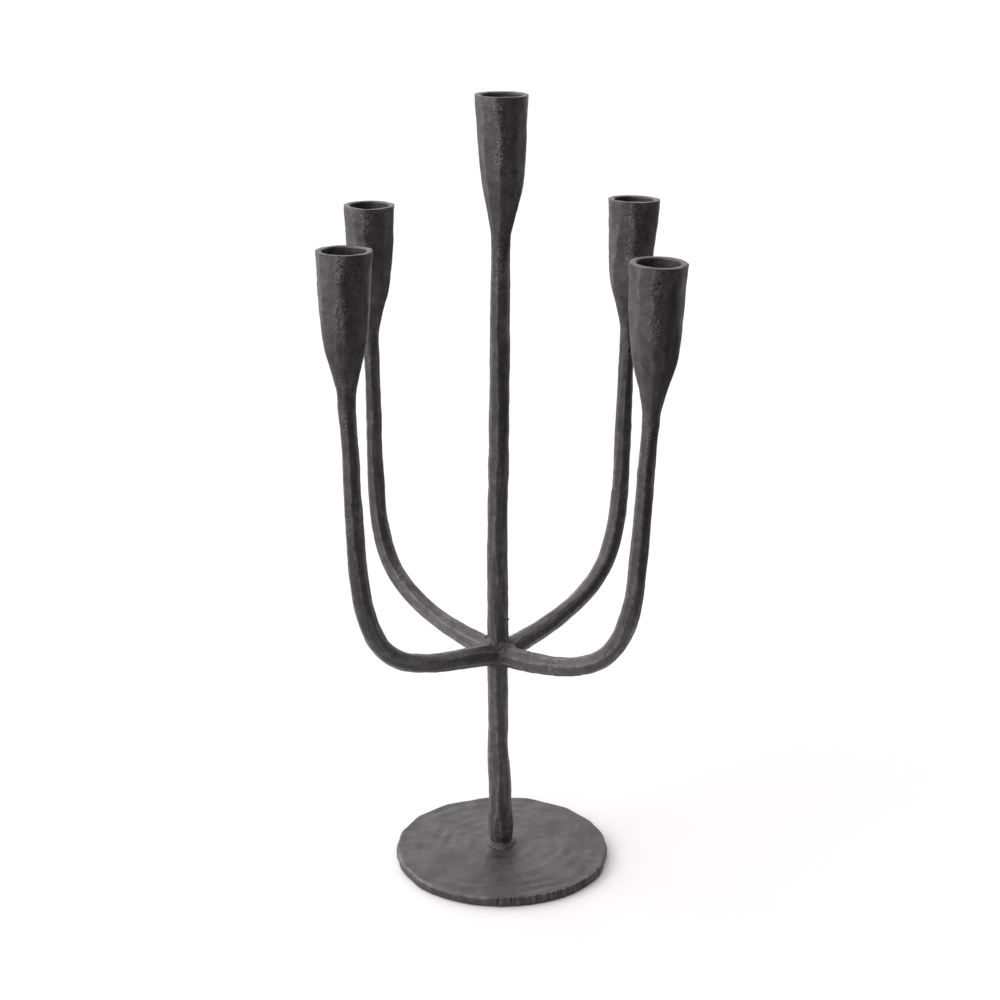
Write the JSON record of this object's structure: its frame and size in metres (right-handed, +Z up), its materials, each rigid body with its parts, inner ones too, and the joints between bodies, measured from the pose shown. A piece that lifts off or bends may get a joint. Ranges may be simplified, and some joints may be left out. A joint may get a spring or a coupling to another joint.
{
  "type": "candelabrum",
  "caption": "Hammered iron candelabrum: a round base, an upright stem and bent arms welded to it, each ending in a tall tapered candle cup.",
  "frame": {"origin": "on the surface that it stands on, under the centre of the base plate", "axes": "+Z up along the stem; +X to the right and +Y to the back, seen from the front, with the arms on the diagonals"},
  "size_m": [0.1885, 0.1854, 0.4501],
  "materials": {
    "bar_iron": "hammered and blackened, satin",
    "cup_iron": "faceted, pitted and blackened, satin",
    "base_iron": "rippled and blackened, satin",
    "weld_iron": "rough and blackened",
    "felt": "matt black felt"
  },
  "bodies": {
    "root": {"arm_back_left": "bar_iron", "arm_back_right": "bar_iron", "arm_front_left": "bar_iron", "arm_front_right": "bar_iron", "base_felt": "felt", "base_plate": "base_iron", "cup_back_left": "cup_iron", "cup_back_right": "cup_iron", "cup_centre": "cup_iron", "cup_front_left": "cup_iron", "cup_front_right": "cup_iron", "foot_weld": "weld_iron", "hub_weld_back_left": "weld_iron", "hub_weld_back_right": "weld_iron", "hub_weld_front_left": "weld_iron", "hub_weld_front_right": "weld_iron", "neck_weld_back_left": "weld_iron", "neck_weld_back_right": "weld_iron", "neck_weld_centre": "weld_iron", "neck_weld_front_left": "weld_iron", "neck_weld_front_right": "weld_iron", "stem": "bar_iron"}
  },
  "joints": []
}
